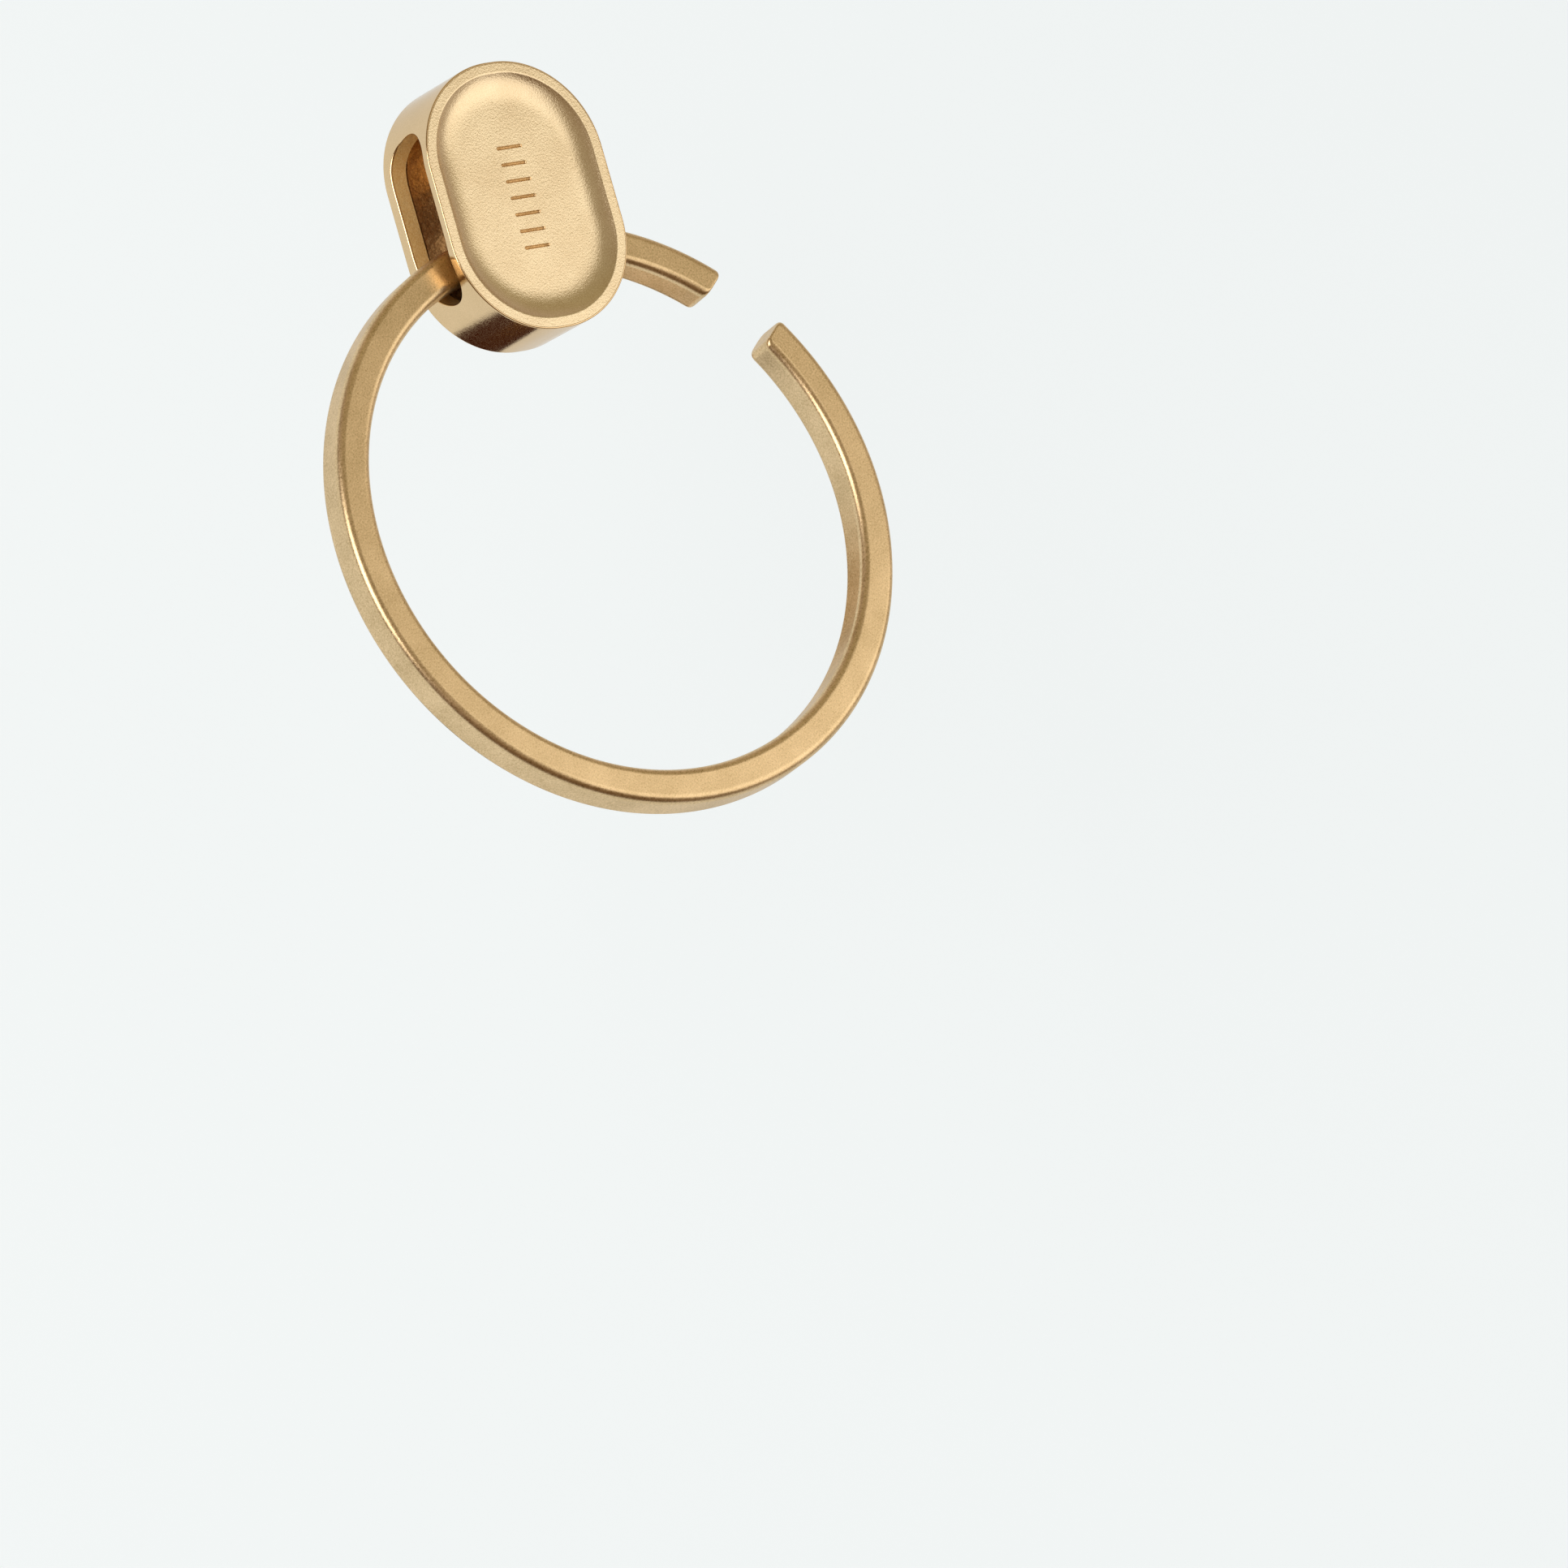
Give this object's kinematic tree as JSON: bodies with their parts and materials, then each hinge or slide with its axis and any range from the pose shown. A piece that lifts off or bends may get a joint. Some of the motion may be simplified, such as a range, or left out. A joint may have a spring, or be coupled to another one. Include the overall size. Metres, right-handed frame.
{
  "type": "key ring",
  "caption": "Brass C-shaped key ring closed by a hollow dished slider that runs round the bar and locks over the gap.",
  "frame": {"origin": "centre of the ring, on its axis, at half the bar's height", "axes": "+Z along the ring's axis towards the slider's front cover, +X through the middle of the gap between the bar's ends"},
  "size_m": [0.0358, 0.0386, 0.0065],
  "materials": {
    "bar_brass": "satin, fine blasted",
    "band_brass": "smooth satin",
    "cover_brass": "fine blasted",
    "lock_steel": "machined",
    "spring_steel": "drawn wire"
  },
  "bodies": {
    "ring": {"ring_bar": "bar_brass"},
    "plunger": {"spring_plunger": "lock_steel", "press_spring": "spring_steel"},
    "slider": {"slider_band": "band_brass", "front_cover": "cover_brass", "back_cover": "cover_brass", "lock_tooth": "lock_steel"}
  },
  "joints": [
    {"name": "slider_travel", "type": "hinge", "parent": "ring", "child": "plunger", "pos_m": [0, 0, 0], "axis": [0, 0, 1], "range_deg": [-50.4, 309.6]},
    {"name": "slider_press", "type": "slide", "parent": "plunger", "child": "slider", "axis": [-0.6307, -0.7672, -0.1166], "range_m": [0, 0.0027], "stiffness_N_per_m": 400, "springref_m": -0.0005, "deforming": ["press_spring"]}
  ]
}
